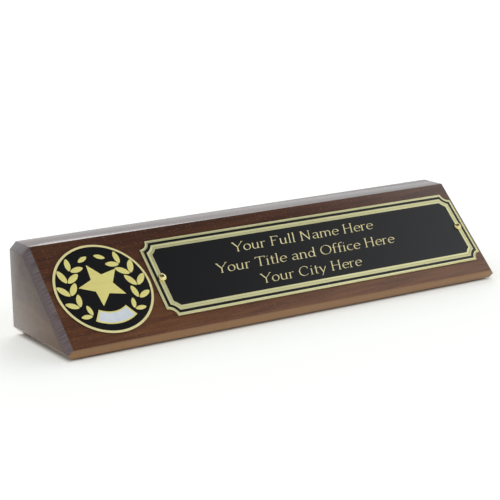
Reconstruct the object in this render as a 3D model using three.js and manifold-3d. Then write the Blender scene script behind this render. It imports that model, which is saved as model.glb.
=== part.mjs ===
// Desk name block: a solid walnut wedge that stands on a table. Its slanted front carries a long engraved
// plate, held by a small screw at each end, and a thin round award medallion.
//
// Units are millimetres and +Z is up. The origin is on the table, under the middle of the block.
// +X runs along the block towards its right end, and +Y runs from the slanted front to the upright back.

import * as THREE from 'three';
import { mergeVertices } from 'three/addons/utils/BufferGeometryUtils.js';
import Module from 'manifold-3d';

const wasm = await Module();
wasm.setup();

// ---------------------------------------------------------------- driving dimensions

// Walnut block.
const blockLength = 261.5;
const blockDepth = 58.3;        // from the nose to the upright back
const blockHeight = 45.6;       // from its underside to the level top
const topFlatDepth = 15.3;      // level strip between the slanted face and the back
const noseHeight = 4.5;         // lower edge of the slanted face, above the underside
const underBevelDepth = 1.6;    // how far the narrow face below the nose leans back
const faceEndChamfer = 3.5;     // 45 degree cut at the ends of the top and the slanted face
const baseEndChamfer = 3.0;     // 45 degree cut at the ends of the underside

// Felt sheet under the block.
const feltThickness = 1.0;
const feltInset = 3;            // from the edges of the block's underside to the edges of the felt
const feltCornerRadius = 4;

// Round medallion and its adhesive disc.
const medallionDiameter = 50.8;
const medallionThickness = 0.5;
const medallionMargin = 2.3;    // from the left end of the slanted face to the medallion
const medallionTapeInset = 3;   // the adhesive disc is smaller than the medallion by this much all round

// Engraved plate.
const plateThickness = 0.6;
const plateGap = 1.9;           // between the medallion and the plate
const plateEndMargin = 1.7;     // from the plate to the right end of the slanted face
const plateEdgeMargin = 7.5;    // from the plate's long edges to the edges of the slanted face
const plateNotchRadius = 4.5;   // concave quarter round taken out of each corner

// Double-sided tape strips behind the plate.
const tapeThickness = 0.15;
const tapeWidth = 12;
const tapeEdgeInset = 5;        // from the plate's long edge to the strip, clear of the corner notches
const tapeEndInset = 12;        // from the plate's short edge to the strip, clear of the screws

// Round-head wood screws.
const screwInset = 5;           // from the plate's short edge to the screw
const screwHeadDiameter = 4.3;
const screwHeadHeight = 1.75;
const screwCoreDiameter = 1.5;
const screwThreadDiameter = 2.2;
const screwThreadPitch = 1.0;
const screwNeckLength = 1.4;    // plain shank under the head
const screwThreadLength = 6.5;
const screwTipLength = 1.6;
const screwTipDiameter = 0.4;
const recessArmLength = 2.4;    // cross recess, from end to end of one slot
const recessArmWidth = 0.5;
const recessDepth = 0.9;

// Fits.
const layerGap = 0.1;           // between pieces that lie on each other; a glue film fills it
const headSeatGap = 0.05;       // between a screw head and the plate
const plateHoleClearance = 0.2; // around the screw in the plate, on the radius
const pilotHoleClearance = 0.1; // around the thread in the block, on the radius
const pilotHoleExtraDepth = 2;  // below the screw's tip

// ---------------------------------------------------------------- facets

const roundSteps = 72;          // sides of the medallion and its adhesive disc
const notchSteps = 12;          // facets in one corner notch
const holeSides = 24;
const screwSides = 24;
const threadRowsPerPitch = 4;
const headRings = 7;

// ---------------------------------------------------------------- worked out from the above

const blockBottom = feltThickness + layerGap;
const slopeRise = blockHeight - noseHeight;
const slopeRun = blockDepth - topFlatDepth;
const slopeAngle = Math.atan2(slopeRise, slopeRun);
const slopeLength = Math.hypot(slopeRise, slopeRun);

// Slanted face coordinates: x along the block, y up the slope from the nose, z out of the face.
const faceLeft = -blockLength / 2 + faceEndChamfer;
const faceRight = blockLength / 2 - faceEndChamfer;
const faceMiddle = slopeLength / 2;

const medallionX = faceLeft + medallionMargin + medallionDiameter / 2;
const plateLeft = faceLeft + medallionMargin + medallionDiameter + plateGap;
const plateRight = faceRight - plateEndMargin;
const plateLength = plateRight - plateLeft;
const plateHeight = slopeLength - 2 * plateEdgeMargin;
const plateX = (plateLeft + plateRight) / 2;
const plateBack = tapeThickness + 2 * layerGap;
const plateFront = plateBack + plateThickness;

const screwSeat = plateFront + headSeatGap;
const screwLength = screwNeckLength + screwThreadLength + screwTipLength;
const screwXs = { left: plateLeft + screwInset, right: plateRight - screwInset };

// ---------------------------------------------------------------- materials

function finish(color, roughness, metalness) {
  return new THREE.MeshStandardMaterial({ color, roughness, metalness });
}

const lacqueredWalnut = finish(0x4b3228, 0.35, 0);
const darkFelt = finish(0x1d1c1b, 0.95, 0);
const blackLacquer = finish(0x1e1f21, 0.4, 0.2);
const clearTape = finish(0xd9d2b8, 0.6, 0);
const polishedBrass = finish(0xb9924b, 0.25, 1);
const gildedEnamel = finish(0xd8cc7a, 0.4, 0.6);

// ---------------------------------------------------------------- solids

// Only the merged positions count for a boolean.
function toSolid(geometry) {
  const bare = geometry.index ? geometry.toNonIndexed() : geometry.clone();
  bare.deleteAttribute('normal');
  bare.deleteAttribute('uv');
  const merged = mergeVertices(bare, 1e-4);
  return new wasm.Manifold(new wasm.Mesh({
    numProp: 3,
    vertProperties: new Float32Array(merged.attributes.position.array),
    triVerts: new Uint32Array(merged.index.array),
  }));
}

function toGeometry(solid) {
  const { vertProperties, triVerts, numProp } = solid.getMesh();
  const corners = new Float32Array(triVerts.length * 3);
  triVerts.forEach((vertex, corner) => {
    for (let axis = 0; axis < 3; axis += 1) {
      corners[corner * 3 + axis] = vertProperties[vertex * numProp + axis];
    }
  });
  const geometry = new THREE.BufferGeometry();
  geometry.setAttribute('position', new THREE.BufferAttribute(corners, 3));
  geometry.computeVertexNormals();
  return geometry;
}

function cut(geometry, cutters) {
  const whole = toSolid(geometry);
  return toGeometry(cutters.reduce((solid, cutter) => solid.subtract(toSolid(cutter)), whole));
}

function namedMesh(name, geometry, material) {
  const mesh = new THREE.Mesh(geometry, material);
  mesh.name = name;
  return mesh;
}

// A flat outline made into a sheet between two heights.
function sheet(shape, thickness, curveSegments) {
  return new THREE.ExtrudeGeometry(shape, { depth: thickness, bevelEnabled: false, curveSegments });
}

// A round bar along Z, between two heights.
function bar(radius, low, high, sides) {
  const geometry = new THREE.CylinderGeometry(radius, radius, high - low, sides);
  geometry.rotateX(Math.PI / 2);
  geometry.translate(0, 0, (low + high) / 2);
  return geometry;
}

// A box that fills everything near the block on the outer side of a plane.
function beyondPlane(point, normal) {
  const size = 2 * Math.max(blockLength, blockDepth, blockHeight);
  const box = new THREE.BoxGeometry(size, size, size);
  box.translate(0, 0, size / 2);
  box.applyQuaternion(new THREE.Quaternion().setFromUnitVectors(new THREE.Vector3(0, 0, 1), normal));
  box.translate(point.x, point.y, point.z);
  return box;
}

// ---------------------------------------------------------------- walnut block

const noseY = -blockDepth / 2;
const backY = blockDepth / 2;
const blockTop = blockBottom + blockHeight;
const noseZ = blockBottom + noseHeight;
const bevelFootY = noseY + underBevelDepth;

// Cross-section corners, anticlockwise with Y to the right and Z up.
const section = {
  bevelFoot: new THREE.Vector2(bevelFootY, blockBottom),
  backFoot: new THREE.Vector2(backY, blockBottom),
  backTop: new THREE.Vector2(backY, blockTop),
  slopeTop: new THREE.Vector2(backY - topFlatDepth, blockTop),
  nose: new THREE.Vector2(noseY, noseZ),
};

// A cross-section in the Y and Z directions, run along the whole block.
function alongBlock(corners) {
  const geometry = sheet(new THREE.Shape(corners), blockLength, 1);
  geometry.translate(0, 0, -blockLength / 2);
  // Section X becomes world Y, section Y becomes world Z, and the run becomes world X.
  geometry.applyMatrix4(new THREE.Matrix4().set(0, 0, 1, 0, 1, 0, 0, 0, 0, 1, 0, 0, 0, 0, 0, 1));
  return geometry;
}

// The 45 degree cut where one long face of the block, from corner to nextCorner, meets an end.
function endChamfer(corner, nextCorner, side, width) {
  const along = nextCorner.clone().sub(corner).normalize();
  const outwards = new THREE.Vector3(0, along.y, -along.x);
  const endwards = new THREE.Vector3(side, 0, 0);
  const point = new THREE.Vector3(side * (blockLength / 2 - width), corner.x, corner.y);
  return beyondPlane(point, outwards.add(endwards).normalize());
}

function pilotHole(x) {
  const depth = screwLength + pilotHoleExtraDepth - screwSeat;
  const radius = screwThreadDiameter / 2 + pilotHoleClearance;
  const drill = bar(radius, -depth, screwSeat, holeSides);
  drill.translate(x, faceMiddle, 0);
  drill.applyMatrix4(slantedFrame());
  return drill;
}

function makeBlock() {
  const { bevelFoot, backFoot, backTop, slopeTop, nose } = section;
  const cutters = [];
  for (const side of [-1, 1]) {
    cutters.push(endChamfer(backTop, slopeTop, side, faceEndChamfer));
    cutters.push(endChamfer(slopeTop, nose, side, faceEndChamfer));
    cutters.push(endChamfer(bevelFoot, backFoot, side, baseEndChamfer));
  }
  cutters.push(pilotHole(screwXs.left), pilotHole(screwXs.right));
  const whole = alongBlock([bevelFoot, backFoot, backTop, slopeTop, nose]);
  return namedMesh('wedge_block', cut(whole, cutters), lacqueredWalnut);
}

// ---------------------------------------------------------------- felt

function roundedRectangle(left, right, low, high, radius) {
  const shape = new THREE.Shape();
  shape.moveTo(left + radius, low);
  shape.lineTo(right - radius, low);
  shape.absarc(right - radius, low + radius, radius, -Math.PI / 2, 0, false);
  shape.lineTo(right, high - radius);
  shape.absarc(right - radius, high - radius, radius, 0, Math.PI / 2, false);
  shape.lineTo(left + radius, high);
  shape.absarc(left + radius, high - radius, radius, Math.PI / 2, Math.PI, false);
  shape.lineTo(left, low + radius);
  shape.absarc(left + radius, low + radius, radius, Math.PI, 1.5 * Math.PI, false);
  return shape;
}

function makeFelt() {
  const halfLength = blockLength / 2 - baseEndChamfer - feltInset;
  const low = bevelFootY + feltInset;
  const high = backY - feltInset;
  const outline = roundedRectangle(-halfLength, halfLength, low, high, feltCornerRadius);
  return namedMesh('base_felt', sheet(outline, feltThickness, notchSteps), darkFelt);
}

// ---------------------------------------------------------------- medallion

function makeMedallion() {
  const disc = bar(medallionDiameter / 2, plateBack, plateBack + medallionThickness, roundSteps);
  const tapeLow = layerGap;
  const tape = bar(medallionDiameter / 2 - medallionTapeInset, tapeLow, tapeLow + tapeThickness, roundSteps);
  const medallion = new THREE.Group();
  medallion.position.set(medallionX, faceMiddle, 0);
  medallion.add(namedMesh('medallion_disc', disc, gildedEnamel));
  medallion.add(namedMesh('medallion_tape', tape, clearTape));
  return medallion;
}

// ---------------------------------------------------------------- plate

// Outline with a concave quarter round at each corner, centred on the plate.
function notchedOutline(length, height, radius) {
  const x = length / 2;
  const y = height / 2;
  const shape = new THREE.Shape();
  shape.moveTo(-x + radius, -y);
  shape.lineTo(x - radius, -y);
  shape.absarc(x, -y, radius, Math.PI, Math.PI / 2, true);
  shape.lineTo(x, y - radius);
  shape.absarc(x, y, radius, 1.5 * Math.PI, Math.PI, true);
  shape.lineTo(-x + radius, y);
  shape.absarc(-x, y, radius, 0, -Math.PI / 2, true);
  shape.lineTo(-x, -y + radius);
  shape.absarc(-x, -y, radius, Math.PI / 2, 0, true);
  return shape;
}

function makePlateSheet() {
  const outline = notchedOutline(plateLength, plateHeight, plateNotchRadius);
  for (const x of [screwXs.left - plateX, screwXs.right - plateX]) {
    const hole = new THREE.Path();
    hole.absarc(x, 0, screwThreadDiameter / 2 + plateHoleClearance, 0, 2 * Math.PI, true);
    outline.holes.push(hole);
  }
  const geometry = sheet(outline, plateThickness, notchSteps);
  geometry.translate(0, 0, plateBack);
  return namedMesh('name_plate', geometry, blackLacquer);
}

function makePlateTape(name, direction) {
  const geometry = new THREE.BoxGeometry(plateLength - 2 * tapeEndInset, tapeWidth, tapeThickness);
  const y = direction * (plateHeight / 2 - tapeEdgeInset - tapeWidth / 2);
  geometry.translate(0, y, layerGap + tapeThickness / 2);
  return namedMesh(name, geometry, clearTape);
}

function makePlate() {
  const plate = new THREE.Group();
  plate.position.set(plateX, faceMiddle, 0);
  plate.add(makePlateSheet());
  plate.add(makePlateTape('plate_tape_upper', 1));
  plate.add(makePlateTape('plate_tape_lower', -1));
  return plate;
}

// ---------------------------------------------------------------- screws

// Height of the thread's crest over its core, from 0 to 1, at a height and an angle about the screw.
function threadRise(height, angle) {
  const turns = height / screwThreadPitch - angle / (2 * Math.PI);
  const phase = turns - Math.floor(turns);
  return 1 - Math.abs(2 * phase - 1);
}

// Half outline of the screw from its tip to the top of its head, as radius and height. The head's
// underside is at height 0. Rows in the threaded stretch are close enough to carry the thread.
function screwProfile() {
  const tipEnd = -screwLength;
  const threadLow = tipEnd + screwTipLength;
  const threadHigh = threadLow + screwThreadLength;
  const profile = [new THREE.Vector2(0, tipEnd), new THREE.Vector2(screwTipDiameter / 2, tipEnd)];
  const rows = Math.round(screwThreadLength / screwThreadPitch * threadRowsPerPitch);
  for (let row = 0; row <= rows; row += 1) {
    const height = threadLow + screwThreadLength * row / rows;
    profile.push(new THREE.Vector2(screwCoreDiameter / 2, height));
  }
  profile.push(new THREE.Vector2(screwThreadDiameter / 2, threadHigh + screwThreadPitch / 2));
  profile.push(new THREE.Vector2(screwThreadDiameter / 2, 0));
  for (let ring = 0; ring <= headRings; ring += 1) {
    const angle = Math.PI / 2 * ring / headRings;
    const radius = ring === headRings ? 0 : screwHeadDiameter / 2 * Math.cos(angle);
    profile.push(new THREE.Vector2(radius, screwHeadHeight * Math.sin(angle)));
  }
  return { profile, threadLow, threadHigh };
}

// A lathed screw along +Z whose threaded stretch is pushed out into a helix.
function screwBody() {
  const { profile, threadLow, threadHigh } = screwProfile();
  const geometry = new THREE.LatheGeometry(profile, screwSides);
  geometry.rotateX(Math.PI / 2);
  const position = geometry.attributes.position;
  const crest = (screwThreadDiameter - screwCoreDiameter) / 2;
  const margin = screwThreadPitch / threadRowsPerPitch / 2;
  for (let i = 0; i < position.count; i += 1) {
    const x = position.getX(i);
    const y = position.getY(i);
    const z = position.getZ(i);
    if (z > threadLow + margin && z < threadHigh - margin) {
      const core = Math.hypot(x, y);
      const grown = (core + crest * threadRise(z, Math.atan2(y, x))) / core;
      position.setXYZ(i, x * grown, y * grown, z);
    }
  }
  return geometry;
}

function makeScrew(name, x) {
  const slots = [0, Math.PI / 2].map((turn) => {
    const slot = new THREE.BoxGeometry(recessArmLength, recessArmWidth, 2 * recessDepth);
    slot.translate(0, 0, screwHeadHeight);
    slot.rotateZ(turn);
    return slot;
  });
  const screw = namedMesh(name, cut(screwBody(), slots), polishedBrass);
  screw.position.set(x, faceMiddle, screwSeat);
  return screw;
}

// ---------------------------------------------------------------- assembly

function slantedFrame() {
  const turn = new THREE.Matrix4().makeRotationX(slopeAngle);
  return turn.setPosition(0, noseY, noseZ);
}

const slantedFace = new THREE.Group();
slantedFace.position.set(0, noseY, noseZ);
slantedFace.rotation.x = slopeAngle;
slantedFace.add(makeMedallion());
slantedFace.add(makePlate());
slantedFace.add(makeScrew('screw_left', screwXs.left));
slantedFace.add(makeScrew('screw_right', screwXs.right));

const deskNameBlock = new THREE.Group();
deskNameBlock.add(makeBlock());
deskNameBlock.add(makeFelt());
deskNameBlock.add(slantedFace);

export default deskNameBlock;
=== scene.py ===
# %% [markdown]
# # A walnut desk name block
#
# The object is a wedge of solid walnut, 26 cm long, that stands on a desk. Its slanted front carries a
# round award medallion and a long engraved plate, held by a small brass screw at each end.
#
# The sizes were settled in CAD. That model is loaded first as a fixed frame, and every piece made
# below takes its place from it. The frame stays hidden where a finer piece stands in for a CAD solid.

# %% Load the frame
import math
import random

import bmesh
import bpy
from bmesh.types import BMEdge, BMFace, BMVert
from mathutils import Matrix, Vector


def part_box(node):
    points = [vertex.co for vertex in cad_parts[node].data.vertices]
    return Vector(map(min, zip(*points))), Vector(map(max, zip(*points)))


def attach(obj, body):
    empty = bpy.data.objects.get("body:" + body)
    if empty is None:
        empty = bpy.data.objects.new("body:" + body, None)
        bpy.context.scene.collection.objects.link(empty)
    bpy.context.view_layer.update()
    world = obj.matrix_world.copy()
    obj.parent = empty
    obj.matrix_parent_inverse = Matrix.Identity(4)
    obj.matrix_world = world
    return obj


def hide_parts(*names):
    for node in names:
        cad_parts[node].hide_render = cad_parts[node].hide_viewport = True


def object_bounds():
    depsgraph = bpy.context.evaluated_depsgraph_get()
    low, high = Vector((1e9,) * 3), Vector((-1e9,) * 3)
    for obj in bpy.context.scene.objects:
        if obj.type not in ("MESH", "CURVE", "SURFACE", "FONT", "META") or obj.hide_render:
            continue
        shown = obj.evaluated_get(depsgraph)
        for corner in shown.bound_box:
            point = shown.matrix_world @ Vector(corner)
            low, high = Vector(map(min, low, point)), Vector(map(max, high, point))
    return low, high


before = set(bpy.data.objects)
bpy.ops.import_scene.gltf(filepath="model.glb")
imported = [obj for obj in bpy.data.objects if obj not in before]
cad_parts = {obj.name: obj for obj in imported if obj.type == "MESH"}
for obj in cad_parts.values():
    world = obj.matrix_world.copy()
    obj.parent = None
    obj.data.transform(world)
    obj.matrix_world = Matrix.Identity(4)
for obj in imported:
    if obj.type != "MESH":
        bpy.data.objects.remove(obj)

MM = 0.001
cad_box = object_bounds()
print("CAD box in metres:", [tuple(round(x, 4) for x in corner) for corner in cad_box])

# %% [markdown]
# ## Camera
#
# A product photographer stands well back with a long lens, so that the block keeps its shape, and looks
# down a little from the left front. The camera is placed in millimetres from the block's own origin,
# and its three angles are turned into the three directions of its axes.

# %% Camera
CAMERA_PLACE_MM = Vector((-441.4, -669.9, 224.2))
VIEW_AZIMUTH = math.radians(32.753)     # from +Y towards +X
VIEW_DROP = math.radians(13.635)        # below the horizon
VIEW_ROLL = math.radians(-0.936)
LENS_MM = 115.08
SENSOR_MM = 36
FARTHEST_SEEN = 100                     # in metres


def new_object(name, data):
    """Makes an object of a camera, a lamp or a mesh and links it to the scene."""
    thing = bpy.data.objects.new(name, data)
    bpy.context.scene.collection.objects.link(thing)
    return thing


def look_along(azimuth, drop, roll):
    """Rotation of a camera that looks along an azimuth, below the horizon, with a little roll."""
    ahead = Vector((math.sin(azimuth) * math.cos(drop), math.cos(azimuth) * math.cos(drop), -math.sin(drop)))
    level_right = Vector((math.cos(azimuth), -math.sin(azimuth), 0))
    right = Matrix.Rotation(-roll, 3, ahead) @ level_right
    up = right.cross(ahead)
    return Matrix((right, up, -ahead)).transposed()


camera = new_object("product_camera", bpy.data.cameras.new("product_camera"))
camera.data.lens = LENS_MM
camera.data.sensor_width = SENSOR_MM
camera.data.clip_end = FARTHEST_SEEN
turn = look_along(VIEW_AZIMUTH, VIEW_DROP, VIEW_ROLL)
camera.matrix_world = Matrix.Translation(CAMERA_PLACE_MM * MM) @ turn.to_4x4()
bpy.context.scene.camera = camera
print("camera looks along", tuple(round(x, 4) for x in -turn.col[2]))

# %% [markdown]
# ## Nodes and colours
#
# A few helpers serve every material. Colours are picked as sRGB hex values, as a paint chart gives them,
# and Blender's sockets want linear light, so one function turns them. Another adds a node with its
# settings, its links and, for a colour ramp, its stops, whatever the node's kind. The last two start a
# material and feed its shader.

# %% Colour and node helpers
SHADER = "Principled BSDF"
RAMP = "ValToRGB"      # Blender's name for a colour ramp


def linear(hex_value):
    """An sRGB hex colour such as 0x55352A as a linear colour with alpha."""
    channels = [(hex_value >> shift & 255) / 255 for shift in (16, 8, 0)]
    return [c / 12.92 if c <= 0.04045 else ((c + 0.055) / 1.055) ** 2.4 for c in channels] + [1.0]


def add(tree, kind, inputs=(), stops=(), out=0, **settings):
    """Adds a node and gives one of its outputs.

    inputs are values or other nodes' outputs: a row of them for the first sockets in order, or a dict by
    socket. stops are the (place, hex colour) pairs of a colour ramp.
    """
    node = tree.nodes.new("ShaderNode" + kind)
    for name, value in settings.items():
        setattr(node, name, value)
    for index, (place, colour) in enumerate(stops):
        elements = node.color_ramp.elements
        element = elements[index] if index < 2 else elements.new(place)
        element.position, element.color = place, linear(colour)
    for socket, value in inputs.items() if isinstance(inputs, dict) else enumerate(inputs):
        if isinstance(value, bpy.types.NodeSocket):
            tree.links.new(value, node.inputs[socket])
        else:
            node.inputs[socket].default_value = value
    return node.outputs[out]


def new_material(name, **constants):
    """A material with its shader's plain values set, its tree, and a place on the piece to draw from."""
    material = bpy.data.materials.new(name)
    material.use_nodes = True
    tree = material.node_tree
    for socket, value in constants.items():
        tree.nodes[SHADER].inputs[socket.replace("_", " ")].default_value = value
    print("finish:", name)
    return material, tree, add(tree, "TexCoord", out="Object")


def paint(tree, colour, height=None, deep_mm=0.0, **strengths):
    """Feeds the shader a colour, and the relief of a height to each normal socket with its strength."""
    tree.links.new(colour, tree.nodes[SHADER].inputs["Base Color"])
    for socket, strength in strengths.items():
        relief = add(tree, "Bump", {"Height": height, "Strength": strength, "Distance": deep_mm * MM})
        tree.links.new(relief, tree.nodes[SHADER].inputs[socket.replace("_", " ")])


print(f"sRGB grey 0x808080 is {linear(0x808080)[0]:.3f} in linear light")

# %% [markdown]
# ## The studio
#
# The block stands on white paper in a bright room. The paper has a painted glow, as on a light table, but
# not under the block, so its shadow keeps its depth. Most of the light comes from a white wall all round,
# which the lacquer mirrors at a shallow angle, so the top looks silver and not brown. The wall's foot is
# dimmer, so the top isn't washed out. Overhead it is darker, and the slanted face mirrors that part, so it
# stays deep in colour. A soft box high behind the right end brightens that end of the face.

# %% Floor, sky and lamp
PAPER_SIZE = 12.0
PAPER_WHITE = linear(0xF4F5F1)
PAPER_GLOW = 0.42
GLOW_EDGE = 3 * MM             # how far inside the object's outline the glow dies away
WALL_WHITE = linear(0xF9FBFD)
WALL, DARK_SIDE, CEILING = 1.25, 0.9, 0.15     # brightness
BRIGHT_WAY = (0.85, 0.5, 0)    # towards the bright side of the wall
SIDE_FADE = 0.6                # how far round one side fades into the other
FOOT_SHARE = 0.74              # brightness of the wall's foot, as a part of the wall's
FOOT_FADE = (0.22, 0.42)       # where the foot ends; a height is a direction's z, which is 1 overhead
WALL_FADE = (0.69, 0.85)       # where the wall ends and the ceiling starts
SOFT_BOX_PLACE = Vector((0.9, 1.5, 1.2))
SOFT_BOX_SIZE = 0.8
SOFT_BOX_POWER = 6
bpy.context.scene.view_settings.view_transform = "Standard"


def as_mesh(bm, name):
    """Turns a bmesh into a mesh and lets the bmesh go."""
    mesh = bpy.data.meshes.new(name)
    bm.to_mesh(mesh)
    bm.free()
    return mesh


def make_floor():
    """White paper that scatters the room's light, with a painted glow where nothing stands on it."""
    material, tree, place = new_material(
        "white_seamless_paper", Roughness=0.9, Base_Color=PAPER_WHITE, Emission_Color=PAPER_WHITE)
    low, high = (Vector((*corner[:2], 0)) for corner in cad_box)
    shifted = add(tree, "VectorMath", (place, (low + high) / 2), operation="SUBTRACT")
    off_middle = add(tree, "VectorMath", (shifted,), operation="ABSOLUTE")
    past = add(tree, "VectorMath", (off_middle, (high - low) / 2), operation="SUBTRACT")
    past = add(tree, "SeparateXYZ", (past,)).node.outputs
    outside = add(tree, "Math", (past["X"], past["Y"]), operation="MAXIMUM")
    # Painted light: the paper glows though it is no lamp, and the glow fades out just inside the block's
    # footprint so the shadow under it stays dark.
    glow = add(tree, "MapRange", (outside, -GLOW_EDGE, 0.0, 0.0, PAPER_GLOW))
    tree.links.new(glow, tree.nodes[SHADER].inputs["Emission Strength"])
    bm = bmesh.new()
    bmesh.ops.create_grid(bm, x_segments=1, y_segments=1, size=PAPER_SIZE / 2)
    floor = new_object("studio_floor", as_mesh(bm, "studio_floor"))
    floor.data.materials.append(material)


def make_sky():
    """Walls that are bright on one side and dimmer on the other, under a darker ceiling."""
    world = bpy.data.worlds.new("studio_walls")
    world.use_nodes = True
    tree = world.node_tree
    smooth = {"interpolation_type": "SMOOTHSTEP"}
    direction = add(tree, "TexCoord", out="Generated")
    height = add(tree, "SeparateXYZ", (direction,), out="Z")
    side = add(tree, "VectorMath", (direction, BRIGHT_WAY), out="Value", operation="DOT_PRODUCT")
    around = add(tree, "MapRange", (side, -SIDE_FADE, SIDE_FADE, DARK_SIDE, WALL), **smooth)
    foot = add(tree, "MapRange", (height, *FOOT_FADE, FOOT_SHARE, 1.0), **smooth)
    graded = add(tree, "Math", (around, foot), operation="MULTIPLY")
    strength = add(tree, "MapRange", (height, *WALL_FADE, graded, CEILING), **smooth)
    background = tree.nodes["Background"]
    background.inputs["Color"].default_value = WALL_WHITE
    tree.links.new(strength, background.inputs["Strength"])
    bpy.context.scene.world = world


def make_soft_box():
    """A square soft box that is turned towards the block."""
    lamp = new_object("back_soft_box", bpy.data.lights.new("back_soft_box", "AREA"))
    lamp.data.shape = "SQUARE"
    lamp.data.size = SOFT_BOX_SIZE
    lamp.data.energy = SOFT_BOX_POWER
    lamp.location = SOFT_BOX_PLACE
    lamp.rotation_euler = (-SOFT_BOX_PLACE).to_track_quat("-Z", "Y").to_euler()


make_floor()
make_sky()
make_soft_box()
print(f"brightness of the wall {WALL} to {DARK_SIDE}, its foot {FOOT_SHARE:.0%} of that, ceiling {CEILING}")

# %% [markdown]
# ## The slanted face as a drawing board
#
# Everything that the eye reads lies on the slanted face. It is far easier to draw flat and tilt
# afterwards, so the face gets its own matrix: x runs along the block, y up the slope from the nose, and
# z out of the wood. The matrix and all sizes are measured on the CAD solids.

# %% Measure the CAD block
X, Y, Z = range(3)
NEAR = 1e-5     # two CAD values closer than this are one
block_low, block_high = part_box("wedge_block")
block_points = [vertex.co.copy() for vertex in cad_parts["wedge_block"].data.vertices]


def block_corners(axis, value):
    """The block's CAD corners that lie on one of its outer planes."""
    return [point for point in block_points if abs(point[axis] - value) < NEAR]


nose = max(block_corners(Y, block_low.y), key=lambda point: point.z)
ridge = min(block_corners(Z, block_high.z), key=lambda point: point.y)
bevel_foot = min(block_corners(Z, block_low.z), key=lambda point: point.y)
face_chamfer, base_chamfer = (
    block_high.x - max(point.x for point in block_corners(Z, level))
    for level in (block_high.z, block_low.z))
slope = math.atan2(ridge.z - nose.z, ridge.y - nose.y)
FACE = Matrix.Translation((0, nose.y, nose.z)) @ Matrix.Rotation(slope, 4, "X")
print(f"slope {math.degrees(slope):.1f} degrees, chamfers {face_chamfer / MM:.2f}, {base_chamfer / MM:.2f} mm")


def face_points(node):
    """A CAD node's vertices in the slanted face's own coordinates."""
    inverse = FACE.inverted()
    return [inverse @ vertex.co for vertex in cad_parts[node].data.vertices]


def face_box(node):
    """Lowest and highest corner of a CAD node in the slanted face's own coordinates."""
    points = face_points(node)
    return [Vector([pick(point[axis] for point in points) for axis in (X, Y, Z)]) for pick in (min, max)]


# %% [markdown]
# ## From mesh work to a finished piece
#
# Every piece ends the same way: it is put in its place, its faces are turned outwards, and it becomes
# an object that rides on the block and takes a finish. Large flat faces stay flat shaded and the small
# ones that round an edge are smooth, so that a highlight runs along the edge and not across the face.

# %% Finish a piece


def finish_piece(name, bm, materials, stands_for=(), place=None, flat_over=1e9, sharp=40):
    """Turns a bmesh into a named piece. flat_over is the area in square mm past which a face is flat."""
    if place is not None:
        bmesh.ops.transform(bm, matrix=place, verts=bm.verts)
    bmesh.ops.recalc_face_normals(bm, faces=bm.faces)
    for face in bm.faces:
        face.smooth = face.calc_area() < flat_over * MM * MM
    piece = new_object(name, as_mesh(bm, name))
    piece.data.set_sharp_from_angle(angle=math.radians(sharp))
    for material in materials:
        piece.data.materials.append(material)
    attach(piece, "root")
    if stands_for:
        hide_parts(*stands_for)
    print(f"{name}: {len(piece.data.polygons)} faces")
    return piece


def only(kind, parts):
    """The points, edges or faces among the parts that an operator gives back."""
    return [part for part in parts if isinstance(part, kind)]


def carve(bm, cutters):
    """Cuts closed meshes out of a shape before it is put in its place, and gives the new shape."""
    parts = [new_object("carving", mesh) for mesh in [as_mesh(bm, "whole"), *cutters]]
    for cutter in parts[1:]:
        modifier = parts[0].modifiers.new("carve", "BOOLEAN")
        modifier.object = cutter
        modifier.operation = "DIFFERENCE"
        modifier.solver = "EXACT"
    graph = bpy.context.evaluated_depsgraph_get()
    carved = bmesh.new()
    carved.from_mesh(parts[0].evaluated_get(graph).to_mesh())
    for part in parts:
        bpy.data.objects.remove(part)
    print(f"carved: {len(carved.faces)} faces, {carved.calc_volume() / MM ** 3:.1f} cubic mm")
    return carved


# %% [markdown]
# ## Lacquered walnut
#
# Walnut is a dark brown wood with darker streaks along the board. A picture of wood would slide round
# the corners, so the grain is solid: rings round a pith that lies below and behind the block, cut by the
# faces, so the streaks on the front and the marks on the ends belong to one piece of timber.
#
# The rings near the pith are paler than the outer ones, so the slanted face darkens towards its top.

# %% Colour of the timber
RING_MM = 5.2                          # one year's growth
PITH_MM = (0, 26, -78)                 # below the block, so the rings rise through the slanted face
ACROSS = (0, 1, 1)                     # keeps what lies across the grain
WANDER_MM = 22.0                       # how far a ring strays along the board
WANDER_PER_MM = (0.007, 0.045, 0.045)  # in waves 140 mm long and 22 mm wide
STREAKS_PER_MM = (0.012, 0.16, 0.16)   # streaks 80 mm long and 6 mm wide
STREAK_SHARE = 0.55
CORE_FADE_MM = (101, 103.5)            # where the paler core ends, from the pith
CORE_WAVE_MM = 5.0
CORE_SHARE = 0.5
OUTER_FADE_MM = (100, 122)             # where the outer wood darkens
A, B = 6, 7                            # the two colours that a Mix node takes
MIX = {"data_type": "RGBA", "out": 2}  # mixes colours, and gives the mixed colour
MULTIPLY = {"blend_type": "MULTIPLY", **MIX}


def streaky(tree, place, scale, detail):
    """Noise drawn out along the grain: scale is how many of its clouds lie in one unit of place."""
    drawn_out = add(tree, "Mapping", {"Vector": place, "Scale": scale})
    return add(tree, "TexNoise", {"Vector": drawn_out, "Scale": 1.0, "Detail": detail})


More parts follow.
